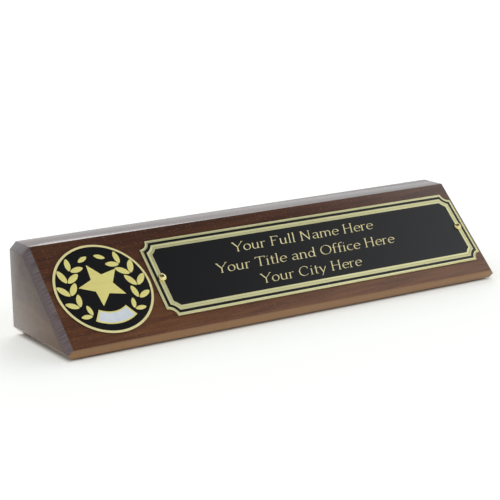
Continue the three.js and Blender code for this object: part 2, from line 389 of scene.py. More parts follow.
def timber(tree, grain):
    """The wood's own colour at a place in millimetres from the pith."""
    drift = streaky(tree, grain, WANDER_PER_MM, 3.0)
    across = add(tree, "VectorMath", (grain, ACROSS), operation="MULTIPLY")
    radius = add(tree, "VectorMath", (across,), out="Value", operation="LENGTH")
    wander = add(tree, "Math", (drift, WANDER_MM, radius), operation="MULTIPLY_ADD")
    years = add(tree, "Math", (wander, RING_MM), operation="DIVIDE")
    season = add(tree, "Math", (years,), operation="FRACT")
    # Early wood is pale and soft, late wood dark, and the next spring starts sharply.
    ring = add(tree, RAMP, (season,), [(0.0, 0x865535), (0.55, 0x774A2F), (0.86, 0x653E2A), (1.0, 0x805033)])
    # Broad streaks of heartwood colour along the board.
    streak = streaky(tree, grain, STREAKS_PER_MM, 4.0)
    streaks = add(tree, RAMP, (streak,), [(0.32, 0x5B3724), (0.5, 0x784B2F), (0.68, 0x91633E)])
    colour = add(tree, "Mix", {0: STREAK_SHARE, A: ring, B: streaks}, **MIX)
    # A paler core, with a wavy edge that shows low down on the ends.
    edge = add(tree, "Math", (drift, CORE_WAVE_MM, radius), operation="MULTIPLY_ADD")
    core = add(tree, "MapRange", (edge, *CORE_FADE_MM, CORE_SHARE, 0.0), interpolation_type="SMOOTHSTEP")
    colour = add(tree, "Mix", {0: core, A: colour, B: linear(0x9B6C40)}, **MIX)
    outer = add(tree, "MapRange", (radius, *OUTER_FADE_MM))
    outer_shade = add(tree, RAMP, (outer,), [(0.0, 0xFFFFFF), (1.0, 0xC4BBBF)])
    return add(tree, "Mix", {0: 1.0, A: colour, B: outer_shade}, **MULTIPLY)


pith_to_nose = math.hypot(nose.y / MM - PITH_MM[1], nose.z / MM - PITH_MM[2])
print(f"{RING_MM} mm rings, and the nose lies {pith_to_nose:.0f} mm from the pith")

# %% [markdown]
# ## Fibres and pores
#
# Between the rings the eye sees fibres, a third of a millimetre wide, and open pores: short dashes along
# the grain. Some pores are dark, and some are painted pale as a painted glint of light in the lacquer.
# Real pores are about 0.2 mm wide, which is too fine to show at this distance, so they are drawn about
# twice as wide.

# %% Fibres and pores
FIBRES_PER_MM = (0.05, 1.7, 1.7)
PORE_CELL_MM = (2.6, 0.7, 0.7)   # room that one pore has
PORE_FADE = (0.14, 0.34)         # where a pore ends, from the middle of its cell
PORE_SHARE = 0.4


def pored(tree, grain, colour):
    """Adds fibres and pores to the timber's colour. Gives the colour and how open the pores are."""
    fibre = streaky(tree, grain, FIBRES_PER_MM, 3.0)
    fibre_shade = add(tree, RAMP, (fibre,), [(0.3, 0xD0CCC8), (0.7, 0xFFFFFF)])
    fibred = add(tree, "Mix", {0: 1.0, A: colour, B: fibre_shade}, **MULTIPLY)
    cells = add(tree, "Mapping", {"Vector": grain, "Scale": [1 / size for size in PORE_CELL_MM]})
    cell = add(tree, "TexVoronoi", {"Vector": cells, "Scale": 1.0}).node.outputs
    pore = add(tree, "MapRange", (cell["Distance"], *PORE_FADE, PORE_SHARE, 0.0))
    # Each cell has a random colour, and its red decides whether the pore is dark or painted pale as a painted
    # glint.
    chance = add(tree, "SeparateColor", (cell["Color"],))
    pore_dark_and_glint = add(tree, RAMP, (chance,), [(0.5, 0x2A1812), (0.56, 0x8E6C58)])
    return add(tree, "Mix", {0: pore, A: fibred, B: pore_dark_and_glint}, **MIX), pore


print(f"a pore fades out {PORE_FADE[1] * PORE_CELL_MM[1]:.2f} mm from its middle")

# %% [markdown]
# ## Where the saw and the cutter went
#
# The faces of the block are not alike. The bevels under it, like every face that looks down, are painted
# a paler tan. The sawn ends soak up more finish and are darker and greyer. The cutter leaves fine marks
# across the chamfers, and the chamfers that look up are painted greyer. The surface's own normal tells
# these faces apart, so the finish stays with the face.

# %% Bevels, ends and chamfers
LEVEL_FADE = (-0.25, -0.12)      # z of a normal: a face below the first looks down, above the second up
TAN_SHARE = 0.72
CHAMFER_GREY_SHARE = 0.6
CUTTER_MARKS = (0.2 / MM, 1 / (0.5 * MM), 0)      # one mark in 0.5 mm of slope


def worked_faces(tree, place, colour):
    """Gives the colour with the bevels, ends and chamfers worked in, and the relief of the marks."""
    facing = add(tree, "SeparateXYZ", (add(tree, "NewGeometry", out="Normal"),)).node.outputs
    upward = add(tree, "MapRange", (facing["Z"], *LEVEL_FADE))
    # Faces that look down, the bevel and the base chamfers, are painted a paler tan.
    tan = add(tree, "MapRange", (upward, 0.0, 1.0, TAN_SHARE, 0.0))
    colour = add(tree, "Mix", {0: tan, A: colour, B: linear(0x94704A)}, **MIX)
    endways = add(tree, "Math", (facing["X"],), operation="ABSOLUTE")
    end_shade = add(tree, RAMP, (endways,), [(0.3, 0xFFFFFF), (0.9, 0xBABFBE)])
    colour = add(tree, "Mix", {0: 1.0, A: colour, B: end_shade}, **MULTIPLY)
    # A chamfer's normal lies between that of a long face, 0 along x, and that of an end, 1.
    on_chamfer = add(tree, RAMP, (endways,), [
        (0.45, 0x000000), (0.6, 0xFFFFFF), (0.8, 0xFFFFFF), (0.9, 0x000000)])
    upper = add(tree, "Math", (on_chamfer, upward), operation="MULTIPLY")
    # The chamfers that look up are painted greyer.
    greying = add(tree, "Math", (upper, CHAMFER_GREY_SHARE), operation="MULTIPLY")
    colour = add(tree, "Mix", {0: greying, A: colour, B: linear(0x867C80)}, **MIX)
    up_slope = add(tree, "Mapping", {"Vector": place, "Rotation": (-slope, 0, 0)})
    marks = streaky(tree, up_slope, CUTTER_MARKS, 1.0)
    marked = add(tree, "Math", (marks, upper), operation="MULTIPLY")
    mark_shade = add(tree, RAMP, (marked,), [(0.35, 0xFFFFFF), (0.62, 0xC6BEC2)])
    return add(tree, "Mix", {0: 1.0, A: colour, B: mark_shade}, **MULTIPLY), marked


# %% [markdown]
# ## Satin lacquer over the wood
#
# The lacquer is a clear coat of its own on the shader. It levels out, so its surface follows the pores
# and the marks only a little, while the wood below has their full relief. Seen at a shallow angle, the
# coat mirrors the bright walls and hides the brown.

# %% Walnut material
OFF_GRAIN = (0, math.radians(1.1), math.radians(-1.6))      # no board is sawn quite along its grain
PORE_SINK = -0.6


def walnut():
    """Walnut under a clear satin coat: deep brown from the front, silvery at a shallow angle."""
    material, tree, place = new_material(
        "lacquered_walnut", Coat_Weight=1.0, Coat_Roughness=0.14, Coat_IOR=1.4, Roughness=0.6,
        Specular_IOR_Level=0.1)
    grain = add(tree, "Mapping", {"Vector": place, "Scale": (1 / MM,) * 3, "Rotation": OFF_GRAIN,
                                  "Location": [-side for side in PITH_MM]})
    colour, pore = pored(tree, grain, timber(tree, grain))
    colour, marked = worked_faces(tree, place, colour)
    height = add(tree, "Math", (pore, PORE_SINK, marked), operation="MULTIPLY_ADD")
    paint(tree, colour, height, deep_mm=0.08, Normal=0.5, Coat_Normal=0.12)
    return material


WALNUT = walnut()

# %% [markdown]
# ## The walnut block
#
# On the real block a planed blank is sawn along its slanted face, and the ends are run past a 45 degree
# cutter. The mesh follows the same steps: the cross-section is extruded to length, each chamfer is one
# plane cut that is filled again, and a small bevel eases every edge as sanding and lacquer do. Plane
# cuts are used in place of one bevel because the chamfer under the base is narrower than the others.

# %% Build the block
EASED_EDGE = 0.08 * MM
BIG_FACE_MM2 = 25


def block_blank(bm):
    """The cross-section, extruded over the whole length."""
    back = block_high.y
    section = [bevel_foot, Vector((0, back, block_low.z)), Vector((0, back, block_high.z)), ridge, nose]
    outline = [bm.verts.new((block_low.x, point.y, point.z)) for point in section]
    grown = bmesh.ops.extrude_face_region(bm, geom=[bm.faces.new(outline)])["geom"]
    bmesh.ops.translate(bm, verts=only(BMVert, grown), vec=(block_high.x - block_low.x, 0, 0))
    return [(point.y, point.z) for point in section]


def chamfer_end(bm, corner, next_corner, side, width):
    """Cuts the 45 degree chamfer between one long face and one end."""
    along = (Vector(next_corner) - Vector(corner)).normalized()
    normal = Vector((side, along.y, -along.x)).normalized()
    point = Vector((side * (block_high.x - width), *corner))
    parts = bm.verts[:] + bm.edges[:] + bm.faces[:]
    bmesh.ops.bisect_plane(bm, geom=parts, dist=NEAR, plane_co=point, plane_no=normal, clear_outer=True)
    bmesh.ops.holes_fill(bm, edges=bm.edges[:], sides=0)


def block_shape():
    bm = bmesh.new()
    foot, back_foot, back_top, top, front = block_blank(bm)
    for side in (-1, 1):
        chamfer_end(bm, back_top, top, side, face_chamfer)
        chamfer_end(bm, top, front, side, face_chamfer)
        chamfer_end(bm, foot, back_foot, side, base_chamfer)
    shortest = min(edge.calc_length() for edge in bm.edges)
    print(f"shortest edge of the sharp block {shortest / MM:.2f} mm")
    bmesh.ops.bevel(bm, geom=bm.edges[:], offset=min(EASED_EDGE, shortest / 3), segments=3, profile=0.5,
                    affect="EDGES", material=-1, clamp_overlap=True)
    return bm


block = block_shape()

# %% [markdown]
# ## Pilot holes
#
# The two screws go into holes drilled square to the slanted face. They are out of sight, but a model
# that comes apart should show them, so they are cut with a boolean. Their width and depth are read off
# the CAD block.

# %% Drill the block
SCREWS = ("screw_left", "screw_right")
HOLE_STEPS = 32


def hole_for(screw_node, node, through=0):
    """A cylinder that cuts the hole which the CAD node has round a screw, in the face's coordinates."""
    low, high = face_box(screw_node)
    middle = (low + high) / 2
    rim = [point for point in face_points(node) if (point.xy - middle.xy).length < high.x - low.x]
    radius = max((point.xy - middle.xy).length for point in rim)
    bottom = min(point.z for point in rim) - through
    top = max(point.z for point in rim) + high.x - low.x
    bm = bmesh.new()
    bmesh.ops.create_cone(bm, cap_ends=True, segments=HOLE_STEPS, radius1=radius, radius2=radius,
                          depth=top - bottom, matrix=Matrix.Translation((*middle.xy, (bottom + top) / 2)))
    print(f"{node}, {screw_node}: hole {2 * radius / MM:.2f} mm wide down to {bottom / MM:.1f} mm")
    return bm


def pilot_hole(screw_node):
    bm = hole_for(screw_node, "wedge_block")
    bmesh.ops.transform(bm, matrix=FACE, verts=bm.verts)
    return as_mesh(bm, "pilot_hole")


block = carve(block, [pilot_hole(screw) for screw in SCREWS])
finish_piece("walnut_block", block, [WALNUT], ["wedge_block"], flat_over=BIG_FACE_MM2)

# %% [markdown]
# ## Felt under the block
#
# A sheet of pressed felt keeps the block from scratching the desk. Felt has no weave: it is a mat of
# fibres, so its cut edge is slightly ragged and its face is cloudy. The sheet is a rounded rectangle
# with its rim subdivided and pushed about by a little seeded noise.

# %% Felt
FELT_CORNER = 4 * MM
FELT_CORNER_STEPS = 8
FELT_RAGGED = 0.12 * MM
FELT_CUTS = 60
FELT_FIBRES = 0.7 / MM
FELT_CLOUDS = 0.05 / MM
FELT_CLOUD_SHARE = 0.5


def pressed_felt():
    """Black wool felt, matt and softly cloudy, with a faint sheen from its loose fibres."""
    material, tree, place = new_material("pressed_wool_felt", Roughness=0.95, Sheen_Weight=0.35)
    fibres = add(tree, "TexNoise", {"Vector": place, "Scale": FELT_FIBRES, "Detail": 5.0})
    cloud = add(tree, "TexNoise", {"Vector": place, "Scale": FELT_CLOUDS, "Detail": 2.0})
    mixed = add(tree, "Math", (cloud, FELT_CLOUD_SHARE, fibres), operation="MULTIPLY_ADD")
    colour = add(tree, RAMP, (mixed,), [(0.5, 0x141312), (1.0, 0x2B2927)])
    paint(tree, colour, fibres, deep_mm=0.2, Normal=0.8)
    return material


def make_felt():
    low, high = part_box("base_felt")
    size, centre = high - low, (low + high) / 2
    bm = bmesh.new()
    bmesh.ops.create_cube(bm, size=1, matrix=Matrix.Translation(centre) @ Matrix.Diagonal((*size, 1)))
    upright = [edge for edge in bm.edges if abs(edge.verts[0].co.z - edge.verts[1].co.z) > size.z / 2]
    bmesh.ops.bevel(bm, geom=upright, offset=FELT_CORNER, segments=FELT_CORNER_STEPS, profile=0.5,
                    affect="EDGES", material=-1)
    long_edges = [edge for edge in bm.edges if edge.calc_length() > 2 * FELT_CORNER]
    bmesh.ops.subdivide_edges(bm, edges=long_edges, cuts=FELT_CUTS)
    ragged = random.Random(7)
    for vert in bm.verts:
        inwards = centre - vert.co
        inwards.z = 0
        vert.co += inwards.normalized() * ragged.uniform(0, FELT_RAGGED)
    felt = finish_piece("felt_sheet", bm, [pressed_felt()], ["base_felt"], flat_over=BIG_FACE_MM2)


make_felt()

# %% [markdown]
# ## Brass and black lacquer
#
# The plate is rolled brass with black lacquer baked on, and the bands and letters are where the lacquer
# was taken off. The roller leaves fine lines along the sheet. They are far finer than the eye can part,
# so they are drawn about 0.4 mm wide and very shallow, and the rest of their effect is roughness. The
# brass is lacquered too, so it stays a pale yellow and doesn't tarnish.

# %% Brass and lacquer materials
ROLLED_LINES = (0.02 / MM, 1 / (0.4 * MM), 0.1 / MM)      # long, and 0.4 mm apart up the slope
BRASS_CLOUDS = 0.04 / MM
BRASS_CLOUD_SHARE = 0.6
ORANGE_PEEL = 1.1 / MM
LACQUER_HAZE = 0.03 / MM


def rolled_brass(name, pale, deep, roughness, metallic=1.0):
    """Lacquered brass: a soft, pale yellow shine that is a little uneven along the sheet."""
    material, tree, place = new_material(
        name, Metallic=metallic, Roughness=roughness, Coat_Weight=0.3, Coat_Roughness=0.25)
    flat = add(tree, "Mapping", {"Vector": place, "Rotation": (-slope, 0, 0)})
    lines = streaky(tree, flat, ROLLED_LINES, 3.0)
    cloud = add(tree, "TexNoise", {"Vector": place, "Scale": BRASS_CLOUDS, "Detail": 3.0})
    tone = add(tree, "Math", (cloud, BRASS_CLOUD_SHARE, lines), operation="MULTIPLY_ADD")
    colour = add(tree, RAMP, (tone,), [(0.55, deep), (1.0, pale)])
    paint(tree, colour, lines, deep_mm=0.01, Normal=0.3)
    return material


def baked_lacquer(name, roughness):
    """Black lacquer: nearly no colour of its own, a satin gloss and a very fine orange peel."""
    material, tree, place = new_material(name, Roughness=roughness)
    peel = add(tree, "TexNoise", {"Vector": place, "Scale": ORANGE_PEEL, "Detail": 2.0})
    greying = add(tree, "TexNoise", {"Vector": place, "Scale": LACQUER_HAZE, "Detail": 3.0})
    colour = add(tree, RAMP, (greying,), [(0.3, 0x070709), (0.7, 0x0B0B0F)])
    paint(tree, colour, peel, deep_mm=0.02, Normal=0.12)
    return material


PLATE_BRASS = rolled_brass("rolled_brass", 0xF4F0BE, 0xE6E2AA, 0.5)
# The brass on the grooves' walls is painted darker: painted shade in the scribed groove.
GROOVE_SHADE_BRASS = rolled_brass("groove_brass_painted_shade", 0xCBC998, 0xB8B682, 0.55)
# The graver leaves the brass rough, and it scatters light nearly as paint does.
LETTER_BRASS = rolled_brass("engraved_brass", 0xFFF4BE, 0xFAEDAC, 0.6, metallic=0.2)
BLACK_LACQUER = baked_lacquer("black_baked_lacquer", 0.24)

# %% [markdown]
# ## The engraved plate
#
# The plate is a long sheet with a quarter circle scooped out of each corner. A gold band, a thin black
# line, a wider gold band and the black field follow that outline inwards, and a fine groove is scribed
# along each band. One point is spun round each corner to draw the outline, which is then extruded from
# ring to ring. Moving in makes each scoop wider round the same corner point, which a plain inset doesn't
# do, so each new ring's points are swung towards the middle of their scoop. Where brass changes to
# lacquer, the ring steps up by the lacquer's thickness.

# %% Build the plate
NOTCH_STEPS = 12
LACQUER_COAT = 0.03 * MM
STEP_WIDTH = 0.03 * MM
RIM_ROUND = 0.1 * MM
OUTER_BAND = 1.35 * MM       # gold, from the plate's edge
BLACK_LINE = 2.85 * MM       # where the black line ends
INNER_BAND = 5.4 * MM        # where the inner gold band ends and the black field starts
SCRIBED_LINES = ((0.6 * MM, 0.14 * MM), (4.05 * MM, 0.24 * MM))     # where a fine groove starts, its width
SCRIBED_DEPTH = 0.04 * MM
DRILL_THROUGH = 1 * MM       # how far a cutter passes the plate


def scooped_outline(bm, low, high, notch, height):
    """A closed ring of edges: a rectangle with a quarter circle scooped out of each corner."""
    ends = []
    for quarter, corner in enumerate(((low.x, low.y), (high.x, low.y), (high.x, high.y), (low.x, high.y))):
        angle = math.pi / 2 * (quarter + 1)
        centre = Vector((*corner, height))
        first = bm.verts.new(centre + notch * Vector((math.cos(angle), math.sin(angle), 0)))
        swept = bmesh.ops.spin(bm, geom=[first], cent=centre, axis=(0, 0, 1), angle=-math.pi / 2,
                               steps=NOTCH_STEPS, use_duplicate=False)
        ends.append((first, only(BMVert, swept["geom_last"])[0]))
    for (_, last), (first, _) in zip(ends, ends[1:] + ends[:1]):
        bm.edges.new((last, first))
    return bm.edges[:]


def extrude_ring(bm, ring):
    """Extrudes a ring of edges and gives the new edges, the new points and the strip of faces."""
    made = bmesh.ops.extrude_edge_only(bm, edges=ring)["geom"]
    return [only(kind, made) for kind in (BMEdge, BMVert, BMFace)]


def move_in(vert, low, high, notch, old, new):
    """Moves a point of the outline from one inset to another, round the outer corner of its scoop."""
    centre = (low + high) / 2
    left, near = vert.co.x < centre.x, vert.co.y < centre.y
    corner = Vector((low.x if left else high.x, low.y if near else high.y))
    diagonal = math.atan2(1 if near else -1, 1 if left else -1)
    arm = vert.co.xy - corner
    swing = (math.atan2(arm.y, arm.x) - diagonal + math.pi) % (2 * math.pi) - math.pi
    old_reach, new_reach = (math.pi / 4 - math.asin(inset / (notch + inset)) for inset in (old, new))
    angle = diagonal + swing * new_reach / old_reach
    vert.co.xy = corner + (notch + new) * Vector((math.cos(angle), math.sin(angle)))


plate_low, plate_high = face_box("name_plate")
# The scoop's radius is how far the CAD plate's nearest point is from its own outer corner.
plate_notch = min((point.xy - plate_low.xy).length for point in face_points("name_plate"))
print(f"plate {(plate_high.x - plate_low.x) / MM:.1f} x {(plate_high.y - plate_low.y) / MM:.1f} mm, "
      f"scoops of {plate_notch / MM:.2f} mm")


def make_plate():
    bm = bmesh.new()
    top = plate_high.z
    coated = top + LACQUER_COAT
    # The scribed finish is the darker brass, painted shade on the walls of each groove.
    brass, black, scribed = range(3)
    outer_groove, inner_groove = (
        [(start, top, brass), (start + width / 2, top - SCRIBED_DEPTH, scribed),
         (start + width, top, scribed)]
        for start, width in SCRIBED_LINES)
    rings = [                                       # inset, height, finish of the strip that leads there
        (0, top - RIM_ROUND, brass), (RIM_ROUND, top, brass), *outer_groove, (OUTER_BAND, top, brass),
        (OUTER_BAND + STEP_WIDTH, coated, black), (BLACK_LINE - STEP_WIDTH, coated, black),
        (BLACK_LINE, top, black), *inner_groove, (INNER_BAND, top, brass),
        (INNER_BAND + STEP_WIDTH, coated, black),
    ]
    ring = scooped_outline(bm, plate_low, plate_high, plate_notch, plate_low.z)
    old_inset = 0
    for inset, height, finish in rings:
        ring, points, strip = extrude_ring(bm, ring)
        for point in points:
            move_in(point, plate_low, plate_high, plate_notch, old_inset, inset)
            point.co.z = height
        for face in strip:
            face.material_index = finish
        old_inset = inset
    for face in bmesh.ops.holes_fill(bm, edges=bm.edges[:], sides=0)["faces"]:
        face.material_index = black if face.calc_center_median().z > top else brass
    holes = [as_mesh(hole_for(screw, "name_plate", DRILL_THROUGH), "hole") for screw in SCREWS]
    finish_piece("engraved_plate", carve(bm, holes), [PLATE_BRASS, BLACK_LACQUER, GROOVE_SHADE_BRASS],
                 ["name_plate"], place=FACE, flat_over=0)


make_plate()

# %% [markdown]
# ## Pen letters
#
# The wording is only a placeholder, as on a blank that an engraver shows. Its letters are those of a
# broad pen held at 20 degrees: a stroke is thick where the pen moves square to its edge and thin where
# it moves along it. Each letter is a few lines and arcs, and each stroke is a low ridge, extruded from
# one point of its path to the next. A letter is made once and stamped wherever it is needed.

# %% Draw the letters
PEN_ANGLE = math.radians(20)
PEN_WIDE = 0.076            # all sizes of a letter are parts of a capital's height
PEN_THIN = 0.03
PEN_LIGHT = 0.048           # a stroke drawn with the pen turned
SERIF_WIDE = 0.05
SERIF = 0.1
FLICK = 0.03                # how far a flick at the head of a stem drops
RIDGE = 0.012
LIFT = 0.0005               # each stroke is this much higher than the last, so none lie in one plane
EX = 0.64                   # height of a small letter
TALL = 1.04                 # height of an l or a d


def line(x1, y1, x2, y2, wide=PEN_WIDE):
    return [(x1, y1), (x2, y2)], wide


def light(*ends):
    return line(*ends, PEN_LIGHT)


def thin(*ends):
    return line(*ends, SERIF_WIDE)


def serif(x, y, half=SERIF):
    return thin(x - half, y, x + half, y)


def arc(x, y, across, up, start, end):
    """Part of an ellipse, in steps of about 20 degrees."""
    steps = max(3, round(abs(end - start) / 20))
    angles = [math.radians(start + (end - start) * step / steps) for step in range(steps + 1)]
    return [(x + across * math.cos(a), y + up * math.sin(a)) for a in angles], PEN_WIDE


def stem(x, high):
    """An upright with a thin serif at its foot and a flick at its head."""
    return [line(x, 0, x, high), serif(x, 0), thin(x - SERIF, high - FLICK, x + 0.02, high)]


def capital_stem(x):
    return [line(x, 0, x, 1), serif(x, 0), serif(x, 1)]


LETTERS = {      # advance, then the strokes
    "C": (0.80, [arc(0.42, 0.5, 0.36, 0.5, 48, 314), thin(0.66, 0.87, 0.68, 0.72)]),
    "F": (0.64, capital_stem(0.12) + [line(0.12, 0.98, 0.56, 0.98), thin(0.56, 0.98, 0.58, 0.84),
                                      line(0.12, 0.54, 0.44, 0.54)]),
    "H": (0.84, capital_stem(0.14) + capital_stem(0.66) + [line(0.14, 0.53, 0.66, 0.53)]),
    "N": (0.86, capital_stem(0.12) + [line(0.12, 0.98, 0.68, 0.02), light(0.68, 0, 0.68, 1),
                                      serif(0.68, 1, 0.08)]),
    "O": (0.88, [arc(0.44, 0.5, 0.38, 0.5, 0, 360)]),
    "T": (0.74, [line(0.36, 0, 0.36, 1), serif(0.36, 0), line(0.04, 0.98, 0.70, 0.98),
                 thin(0.04, 0.98, 0.02, 0.84), thin(0.70, 0.98, 0.72, 0.84)]),
    "Y": (0.72, [line(0.04, 1, 0.36, 0.46), light(0.70, 1, 0.36, 0.46), line(0.36, 0.46, 0.36, 0),
                 serif(0.36, 0, 0.09), serif(0.04, 1, 0.08), serif(0.70, 1, 0.08)]),
    "a": (0.58, [arc(0.27, 0.46, 0.17, 0.18, 160, 0), line(0.44, 0.46, 0.44, 0.06),
                 light(0.44, 0.36, 0.27, 0.34), arc(0.28, 0.17, 0.19, 0.17, 95, 270),
                 light(0.28, 0.0, 0.44, 0.1), arc(0.52, 0.08, 0.08, 0.08, 180, 300)]),
    "c": (0.50, [arc(0.28, 0.32, 0.23, 0.32, 52, 312)]),
    "d": (0.62, [arc(0.27, 0.31, 0.2, 0.31, 20, 340), line(0.48, TALL, 0.48, 0.05),
                 arc(0.55, 0.07, 0.07, 0.07, 180, 300), thin(0.40, TALL - FLICK, 0.5, TALL)]),
    "e": (0.52, [arc(0.28, 0.32, 0.23, 0.32, 8, 316), light(0.07, 0.36, 0.5, 0.36)]),
    "f": (0.38, [line(0.16, 0, 0.16, 0.84), arc(0.32, 0.84, 0.16, 0.2, 180, 52),
                 light(0.03, 0.62, 0.36, 0.62), serif(0.17, 0, 0.09)]),
    "i": (0.28, stem(0.12, EX) + [line(0.10, 0.86, 0.17, 0.93)]),
    "l": (0.28, stem(0.12, TALL)),
    "m": (0.92, stem(0.1, EX) + [arc(0.27, 0.42, 0.17, 0.22, 180, 0), line(0.44, 0.42, 0.44, 0),
                                 arc(0.61, 0.42, 0.17, 0.22, 180, 0), line(0.78, 0.42, 0.78, 0)]),
    "n": (0.60, stem(0.1, EX) + [arc(0.28, 0.42, 0.18, 0.22, 180, 0), line(0.46, 0.42, 0.46, 0),
                                 serif(0.47, 0, 0.09)]),
    "o": (0.58, [arc(0.29, 0.32, 0.23, 0.32, 0, 360)]),
    "r": (0.42, stem(0.1, EX) + [arc(0.28, 0.42, 0.18, 0.22, 180, 58)]),
    "t": (0.36, [line(0.15, 0.86, 0.15, 0.12), arc(0.25, 0.12, 0.1, 0.12, 180, 310),
                 light(0.02, 0.62, 0.33, 0.62)]),
    "u": (0.62, [line(0.1, EX, 0.1, 0.22), arc(0.28, 0.22, 0.18, 0.22, 180, 360), line(0.46, EX, 0.46, 0),
                 thin(0.02, EX - FLICK, 0.12, EX), thin(0.46, 0, 0.56, 0.03)]),
    "y": (0.54, [line(0.06, EX, 0.27, 0.04), light(0.5, EX, 0.16, -0.3), serif(0.07, EX, 0.07)]),
}


def pen_stroke(bm, path, wide, lift):
    """A ridge of triangular section along a path. Each step turns and widens the last section."""
    before, tip = None, None
    for index, point in enumerate(path):
        ahead = Vector(path[min(index + 1, len(path) - 1)]) - Vector(path[max(index - 1, 0)])
        heading = math.atan2(ahead.y, ahead.x)
        half = math.hypot(wide * math.sin(heading - PEN_ANGLE), PEN_THIN) / 2
        section = (Matrix.Translation((*point, 0)) @ Matrix.Rotation(heading, 4, "Z")
                   @ Matrix.Diagonal((1, half, RIDGE + lift, 1)))
        if tip is None:
            corners = [bm.verts.new(section @ Vector(corner))
                       for corner in ((0, 1, 0), (0, -1, 0), (0, 0, 1))]
            tip = bm.faces.new(corners)
        else:
            grown = bmesh.ops.extrude_face_region(bm, geom=[tip])["geom"]
            if index > 1:       # the first face closes the stroke's start, and later ones lie inside it
                bmesh.ops.delete(bm, geom=[tip], context="FACES_ONLY")
            bmesh.ops.transform(bm, matrix=section @ before.inverted(), verts=only(BMVert, grown))
            tip = only(BMFace, grown)[0]
        before = section


def stamp(bm, mesh, matrix):
    """Copies a small mesh into a larger one at a place."""
    count = len(bm.verts)
    bm.from_mesh(mesh)
    bm.verts.ensure_lookup_table()
    bmesh.ops.transform(bm, matrix=matrix, verts=bm.verts[count:])


def cut_letter(letter):
    """One letter as a mesh, one capital high."""
    bm = bmesh.new()
    for index, (path, wide) in enumerate(LETTERS[letter][1]):
        pen_stroke(bm, path, wide, LIFT * index)
    return as_mesh(bm, "letter_" + letter)


letter_meshes = {letter: cut_letter(letter) for letter in LETTERS}
print(len(letter_meshes), "letters drawn")

# %% [markdown]
# ## The wording
#
# Three centred lines stand a little left of the plate's middle. Each line is let out between its
# letters until it has its full width, as an engraver does with a name. All its sizes are in
# millimetres from the middle of the plate. Then the three lines are sheared as one block, so the
# letters slope to the right and each lower line stands a little further left.

# %% Set the three lines
CAPITAL_MM = 5.45
LETTER_WIDTH = 1.54
WORD_SPACE = 0.42
LEAN = 0.27                 # shear of the sloping letters
LINES = [("Your Full Name Here", 89.0, 7.7), ("Your Title and Office Here", 112.2, -2.9),
         ("Your City Here", 63.2, -13.1)]      # words, width, baseline
WORDING_SHIFT_MM = -6.5


def advance(character):
    return LETTERS[character][0] * LETTER_WIDTH if character in LETTERS else WORD_SPACE


def set_line(bm, words, width, baseline):
    """Stamps the letters of one line on the plate."""
    middle = (plate_low + plate_high) / 2
    spare = width / CAPITAL_MM - sum(advance(character) for character in words)
    gap = spare / (len(words) - 1)
    pen = WORDING_SHIFT_MM - width / 2
    lean = Matrix(((1, LEAN, 0, 0), (0, 1, 0, 0), (0, 0, 1, 0), (0, 0, 0, 1)))
    rise = Matrix.Translation((0, baseline * MM, 0))
    size = Matrix.Scale(CAPITAL_MM * MM, 4) @ Matrix.Diagonal((LETTER_WIDTH, 1, 1, 1))
    for character in words:
        if character in LETTERS:
            place = Matrix.Translation((middle.x + pen * MM, middle.y, plate_high.z + LACQUER_COAT))
            stamp(bm, letter_meshes[character], place @ lean @ rise @ size)
        pen += (advance(character) + gap) * CAPITAL_MM
    print(f"'{words}': letters let out by {gap * CAPITAL_MM:.2f} mm")


def make_wording():
    bm = bmesh.new()
    for words, width, baseline in LINES:
        set_line(bm, words, width, baseline)
    finish_piece("engraved_wording", bm, [LETTER_BRASS], place=FACE, flat_over=0)


make_wording()

# %% [markdown]
# ## Finishes that drift between two tones
#
# Handled brass, enamel and foam are none of them one even colour, and the painted shade in the screw
# recess isn't either. The small pieces share one way to show it: a noise of the right grain size picks a
# tone between two, and for the brass it also lifts the surface a little.

# %% Two-tone finishes


def clouded(name, grains, stops, pattern="TexNoise", detail=2.0, relief=None, **constants):
    """A finish with so many grains to a metre. relief is a bump's depth in mm and its strength."""
    material, tree, place = new_material(name, **constants)
    cloud = add(tree, pattern, {"Vector": place, "Scale": grains, "Detail": detail})
    colour = add(tree, RAMP, (cloud,), stops)
    if relief:
        paint(tree, colour, cloud, relief[0], Normal=relief[1])
    else:
        paint(tree, colour)
    return material


# Turned brass, bright and a little uneven from handling.
SCREW_BRASS = clouded("turned_brass", 1.6 / MM, [(0.3, 0xD4BE76), (0.6, 0xFAEAAE)], detail=3.0,
                      relief=(0.03, 0.2), Metallic=1.0, Roughness=0.2)
# Painted shade: the recess is painted nearly black, in two drifting tones.
RECESS_SHADE = clouded("recess_painted_shade", 4 / MM, [(0.4, 0x1D160C), (0.7, 0x4A3A1C)], Roughness=0.7)
# Glossy pale blue enamel with a faint cloud in it.
PALE_ENAMEL = clouded("pale_blue_enamel", 0.3 / MM, [(0.3, 0xE4EEF6), (0.7, 0xF2F8FD)], Roughness=0.25)
# Foam tape: closed cells, chalky at the cut.
TAPE = clouded("foam_mounting_tape", 1.5 / MM, [(0.1, 0xB9B9B4), (0.6, 0xE4E4DF)], pattern="TexVoronoi",
               detail=0.0, Roughness=0.8)

# %% [markdown]
# ## Brass screws
#
# Two small round-headed screws with a cross recess hold the plate. The profile is spun round the
# screw's axis, and the thread is made by pushing the shank's points out where a helix passes. Only the
# heads are seen, but the thread is there for anyone who takes the screw out. The recess is two tapered
# slots, cut one after the other.

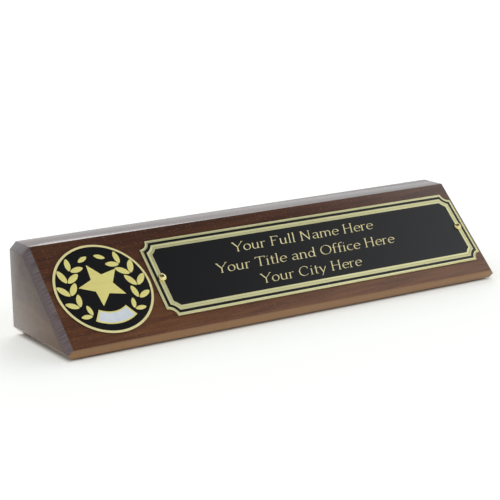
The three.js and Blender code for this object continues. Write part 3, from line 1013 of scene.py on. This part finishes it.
# %% Build the screws
SEAT_GAP = 0.05 * MM         # between the head and the plate
HEAD_EDGE = 0.35 * MM        # the short upright wall under the dome
DOME_STEPS = 10
SPIN_STEPS = 48
NECK = 1.4 * MM              # plain shank under the head
THREAD_RING = 0.1 * MM       # height between two rings of the shank
THREAD_PITCH = 1.0 * MM
THREAD_FLANK = 0.3           # half the width of a ridge, as a part of the pitch
CORE_RADIUS = 0.75 * MM
THREAD_RADIUS = 1.1 * MM
TIP_RADIUS = 0.2 * MM
TIP_LENGTH = 1.6 * MM
RECESS_LENGTH = 2.4 * MM
RECESS_WIDTH = 0.52 * MM
RECESS_DEPTH = 0.9 * MM
RECESS_TAPER = (0.45, 0.7, 1)
RECESS_REACH = 0.8           # the recess ends inside this part of the head's radius
RECESS_SKIN = 0.06 * MM      # a face this far under the dome belongs to the recess


def screw_profile(seat, apex, bottom, head_radius):
    """Points of half the outline, from the tip up to the crown of the head."""
    points = [(0, bottom), (TIP_RADIUS, bottom)]
    rings = round((seat - bottom) / THREAD_RING)
    for ring in range(1, rings + 1):
        height = bottom + (seat - bottom) * ring / rings
        taper = min(1, (height - bottom) / TIP_LENGTH)
        points.append((TIP_RADIUS + (CORE_RADIUS - TIP_RADIUS) * taper, height))
    points += [(head_radius, seat), (head_radius, seat + HEAD_EDGE)]
    dome = apex - seat - HEAD_EDGE
    for step in range(1, DOME_STEPS):
        angle = math.pi / 2 * step / DOME_STEPS
        points.append((head_radius * math.cos(angle), seat + HEAD_EDGE + dome * math.sin(angle)))
    return points + [(0, apex)]


def raise_thread(bm, bottom, top):
    """Pushes the shank out where the helix passes."""
    for vert in bm.verts:
        radius = vert.co.xy.length
        if not (bottom < vert.co.z < top) or radius < TIP_RADIUS / 2:
            continue
        turns = (vert.co.z - bottom) / THREAD_PITCH - math.atan2(vert.co.y, vert.co.x) / (2 * math.pi)
        crest = max(0, 1 - abs(turns % 1 - 0.5) / THREAD_FLANK)
        room = min(1, (vert.co.z - bottom) / TIP_LENGTH, (top - vert.co.z) / THREAD_PITCH)
        vert.co.xy *= 1 + (THREAD_RADIUS - CORE_RADIUS) * crest * room / radius


def slot_cutter(turned, height):
    """A slot that narrows towards its bottom, to be cut into the crown of the head."""
    bm = bmesh.new()
    blank = Matrix.Diagonal((RECESS_LENGTH, RECESS_WIDTH, 2 * RECESS_DEPTH, 1))
    bmesh.ops.create_cube(bm, size=1, matrix=blank)
    bmesh.ops.scale(bm, vec=RECESS_TAPER, verts=[vert for vert in bm.verts if vert.co.z < 0])
    place = Matrix.Translation((0, 0, height)) @ Matrix.Rotation(turned, 4, "Z")
    bmesh.ops.transform(bm, matrix=place, verts=bm.verts)
    return as_mesh(bm, "slot")


def darken_recess(bm, seat, apex, head_radius):
    """Gives the second finish, the painted shade, to the faces that lie inside the recess, under the skin of
    the dome.
    """
    dome = apex - seat - HEAD_EDGE
    for face in bm.faces:
        middle = face.calc_center_median()
        reach = middle.xy.length / head_radius
        if reach < RECESS_REACH:
            skin = seat + HEAD_EDGE + dome * math.sqrt(1 - reach ** 2)
            face.material_index = int(seat < middle.z < skin - RECESS_SKIN)


def make_screw(node, turned):
    low, high = face_box(node)
    middle = (low + high) / 2
    head_radius = (high.x - low.x) / 2
    seat = plate_high.z + SEAT_GAP
    bm = bmesh.new()
    outline = [bm.verts.new((x, 0, z)) for x, z in screw_profile(seat, high.z, low.z, head_radius)]
    edges = [bm.edges.new(pair) for pair in zip(outline, outline[1:])]
    bmesh.ops.spin(bm, geom=outline + edges, cent=(0, 0, 0), axis=(0, 0, 1), angle=2 * math.pi,
                   steps=SPIN_STEPS, use_merge=True)
    bmesh.ops.remove_doubles(bm, verts=bm.verts, dist=NEAR / 10)
    raise_thread(bm, low.z, seat - NECK)
    screw = carve(bm, [slot_cutter(turned + extra, high.z) for extra in (0, math.pi / 2)])
    darken_recess(screw, seat, high.z, head_radius)
    finish_piece(node + "_turned", screw, [SCREW_BRASS, RECESS_SHADE], [node],
                 place=FACE @ Matrix.Translation((middle.x, middle.y, 0)), sharp=50)


for screw, degrees in zip(SCREWS, (35, 62)):
    make_screw(screw, math.radians(degrees))

# %% [markdown]
# ## The medallion
#
# The disc is stamped brass with black enamel filled into its sunk ground, so the rim and the emblem
# stand nearly level with each other and the enamel lies a hair lower. The disc is one circle, extruded
# from ring to ring.
#
# The emblem is a plain award emblem: a star inside two laurel branches, over a ribbon in pale blue.

# %% Medallion disc
MEDAL_STEPS = 96
MEDAL_RIM = 1.25 * MM
ENAMEL_DROP = 0.06 * MM
# Gilding on a rough struck ground glows evenly. The rim is painted a little paler: a painted highlight.
MEDAL_GOLD = rolled_brass("gilt_brass", 0xFFF8A4, 0xFAEE98, 0.7, metallic=0.5)
RIM_HIGHLIGHT_GOLD = rolled_brass("rim_gold_painted_highlight", 0xFFF6B8, 0xFBEEA8, 0.6, metallic=0.35)
BLACK_ENAMEL = baked_lacquer("black_enamel", 0.22)
medal_low, medal_high = face_box("medallion_disc")
medal_middle = (medal_low + medal_high) / 2
medal_radius = (medal_high.x - medal_low.x) / 2
MEDAL = FACE @ Matrix.Translation((medal_middle.x, medal_middle.y, 0))
ground = medal_high.z - ENAMEL_DROP


def make_disc():
    bm = bmesh.new()
    top = medal_high.z
    gold, black, rim = range(3)
    bmesh.ops.create_circle(bm, segments=MEDAL_STEPS, radius=medal_radius,
                            matrix=Matrix.Translation((0, 0, medal_low.z)))
    ring, radius = bm.edges[:], medal_radius
    for next_radius, height in (
        (medal_radius, top - RIM_ROUND), (medal_radius - RIM_ROUND, top), (medal_radius - MEDAL_RIM, top),
        (medal_radius - MEDAL_RIM - STEP_WIDTH, ground),
    ):
        ring, points, strip = extrude_ring(bm, ring)
        for face in strip:
            face.material_index = rim if height > ground else black
        narrower = next_radius / radius
        bmesh.ops.scale(bm, vec=(narrower, narrower, 1), verts=points)
        for point in points:
            point.co.z = height
        radius = next_radius
    for face in bmesh.ops.holes_fill(bm, edges=bm.edges[:], sides=0)["faces"]:
        face.material_index = black if face.calc_center_median().z > medal_middle.z else gold
    finish_piece("medallion", bm, [MEDAL_GOLD, BLACK_ENAMEL, RIM_HIGHLIGHT_GOLD], ["medallion_disc"],
                 place=MEDAL, flat_over=0)


make_disc()

# %% [markdown]
# ## Star, laurel and ribbon
#
# Each shape starts as a circle of a few points that is pulled into its outline, is extruded to a thin
# plate, and gets a low crest by poking its top face. The crest catches the light as the struck relief
# of a medal does. The leaves are one mesh stamped along an arc, larger in the middle of the branch.

# %% Emblem
RELIEF = ENAMEL_DROP + 0.02 * MM
STAR_RADIUS_MM = 12.6
STAR_WAIST = 0.46            # inner radius as a part of the outer one
STAR_CREST_MM = 0.25
STAR_LIFT = 2.2 * MM
LEAF_LONG_MM = 7.2
LEAF_WIDE_MM = 3.0
LEAF_PINCH = 0.4             # how sharply a leaf's ends are drawn in
LEAF_CREST_MM = 0.12
LEAF_SIZES = (0.82, 0.3)     # at a branch's ends, and what its middle adds
LEAF_SPREAD = math.radians(38)
LEAF_APART = 0.35 * MM
BRANCH_RADIUS = 18.0 * MM
BRANCH_FROM, BRANCH_TO = -50, 66       # degrees round the disc, 0 at the right
LEAF_PAIRS = 6
RIBBON_IN, RIBBON_OUT = 13.4 * MM, 20.4 * MM
RIBBON_HALF_ANGLE = math.radians(33)
RIBBON_STEPS = 24
RIBBON_EDGE = 0.75 * MM
BLUE_COAT = 0.02 * MM


def crested(points, pull, crest):
    """A thin plate with a crest, in millimetres. pull moves each point of a unit circle into place."""
    bm = bmesh.new()
    bmesh.ops.create_circle(bm, cap_ends=True, segments=points, radius=1)
    for index, vert in enumerate(bm.verts):
        vert.co = pull(index, vert.co)
    grown = bmesh.ops.extrude_face_region(bm, geom=bm.faces[:])["geom"]
    bmesh.ops.translate(bm, verts=only(BMVert, grown), vec=(0, 0, RELIEF / MM))
    bmesh.ops.recalc_face_normals(bm, faces=bm.faces)
    upper = [face for face in bm.faces if face.normal.z > 0.9]
    bmesh.ops.poke(bm, faces=upper, offset=crest, center_mode="MEAN")
    return as_mesh(bm, "emblem_shape")


def star_point(index, co):
    return co * STAR_RADIUS_MM * (1 if index % 2 == 0 else STAR_WAIST)


def leaf_point(_, co):
    """Pinches a circle into a leaf that points along x, with its base at the origin."""
    across = co.y * abs(co.y) ** LEAF_PINCH * LEAF_WIDE_MM / 2
    return Vector(((co.x + 1) / 2 * LEAF_LONG_MM, across, 0))


def make_star():
    star = crested(10, star_point, STAR_CREST_MM)
    bm = bmesh.new()
    upright = Matrix.Rotation(math.pi / 2, 4, "Z")
    stamp(bm, star, Matrix.Translation((0, STAR_LIFT, ground)) @ Matrix.Scale(MM, 4) @ upright)
    finish_piece("emblem_star", bm, [MEDAL_GOLD], place=MEDAL, flat_over=0)


def make_laurel():
    """Two mirrored branches. Each carries pairs of leaves that lean both ways, and one leaf at its end."""
    leaf = crested(14, leaf_point, LEAF_CREST_MM)
    least, more = LEAF_SIZES
    bm = bmesh.new()
    for side in (1, -1):
        mirror = Matrix.Diagonal((side, 1, 1, 1))
        for pair in range(LEAF_PAIRS):
            along = pair / (LEAF_PAIRS - 1)
            angle = math.radians(BRANCH_FROM + (BRANCH_TO - BRANCH_FROM) * along)
            size = (least + more * math.sin(math.pi * along)) * MM
            root = Matrix.Rotation(angle, 4, "Z") @ Matrix.Translation((BRANCH_RADIUS, 0, ground))
            for way in (1, -1) if pair < LEAF_PAIRS - 1 else (0,):
                shift = Matrix.Translation((0, LEAF_APART * way, 0))
                turned = Matrix.Rotation(math.pi / 2 + LEAF_SPREAD * way, 4, "Z")
                stamp(bm, leaf, mirror @ root @ turned @ shift @ Matrix.Diagonal((size, size, MM, 1)))
    finish_piece("emblem_laurel", bm, [MEDAL_GOLD], place=MEDAL, flat_over=0)


def curved_band(name, inset, low, high, material):
    """A flat band bent round the middle of the disc, under it, spun from its own cross-section."""
    bm = bmesh.new()
    inner, outer = RIBBON_IN + inset, RIBBON_OUT - inset
    half_angle = RIBBON_HALF_ANGLE - inset / RIBBON_IN
    section = [(inner, low), (outer, low), (outer, high), (inner, high)]
    turn_back = Matrix.Rotation(-math.pi / 2 - half_angle, 4, "Z")
    corners = [bm.verts.new(turn_back @ Vector((radius, 0, height))) for radius, height in section]
    bmesh.ops.spin(bm, geom=[bm.faces.new(corners)], cent=(0, 0, 0), axis=(0, 0, 1), angle=2 * half_angle,
                   steps=RIBBON_STEPS, use_duplicate=False)
    finish_piece(name, bm, [material], place=MEDAL, flat_over=0)


make_star()
make_laurel()
ribbon_top = ground + RELIEF
curved_band("emblem_ribbon", 0, ground, ribbon_top, MEDAL_GOLD)
curved_band("emblem_ribbon_enamel", RIBBON_EDGE, ribbon_top, ribbon_top + BLUE_COAT, PALE_ENAMEL)

# %% [markdown]
# ## Mounting tape
#
# Strips of thin foam tape hold the plate and the medallion to the wood. They are hidden once the block
# is put together. Their CAD shape is right as it is, so those solids stay and get a finish.

# %% Finish the tapes
for node in ("medallion_tape", "plate_tape_upper", "plate_tape_lower"):
    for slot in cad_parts[node].material_slots:
        slot.material = TAPE
    print(node, "takes the tape finish")
